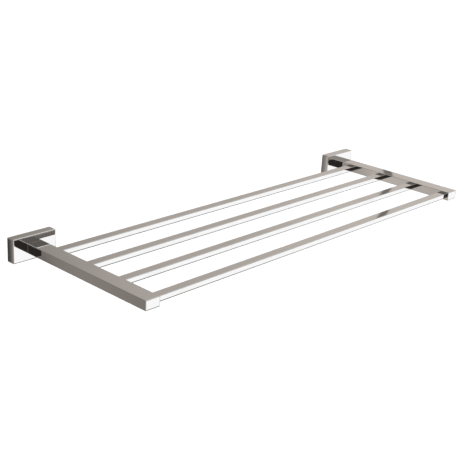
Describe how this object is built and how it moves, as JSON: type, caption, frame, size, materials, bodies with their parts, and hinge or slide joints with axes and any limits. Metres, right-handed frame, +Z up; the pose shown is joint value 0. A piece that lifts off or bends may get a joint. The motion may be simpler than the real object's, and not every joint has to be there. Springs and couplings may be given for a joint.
{
  "type": "wall-mounted towel rack",
  "caption": "Wall-mounted towel shelf: flat side arms on hollow wall rosettes carry parallel flat cross bars on which folded or hanging towels rest.",
  "frame": {"origin": "on the wall plane, midway between the two rosettes, at the mid height of the arms", "axes": "+X along the cross bars to the right as seen from the room, -Y out of the wall into the room, +Z up"},
  "size_m": [0.64, 0.217, 0.03],
  "materials": {
    "polished_chrome": "polished chrome plating",
    "zinc_plate": "zinc plated, dull",
    "steel_fastener": "plain stainless steel"
  },
  "bodies": {
    "root": {"left_arm": "polished_chrome", "right_arm": "polished_chrome", "crossbar_1": "polished_chrome", "crossbar_2": "polished_chrome", "crossbar_3": "polished_chrome", "crossbar_4": "polished_chrome", "left_rosette": "polished_chrome", "right_rosette": "polished_chrome", "left_wall_plate": "zinc_plate", "right_wall_plate": "zinc_plate", "left_arm_screw_a": "steel_fastener", "left_arm_screw_b": "steel_fastener", "right_arm_screw_a": "steel_fastener", "right_arm_screw_b": "steel_fastener", "left_set_screw": "steel_fastener", "right_set_screw": "steel_fastener", "crossbar_1_left_peg": "steel_fastener", "crossbar_1_right_peg": "steel_fastener", "crossbar_2_left_peg": "steel_fastener", "crossbar_2_right_peg": "steel_fastener", "crossbar_3_left_peg": "steel_fastener", "crossbar_3_right_peg": "steel_fastener", "crossbar_4_left_peg": "steel_fastener", "crossbar_4_right_peg": "steel_fastener"}
  },
  "joints": []
}
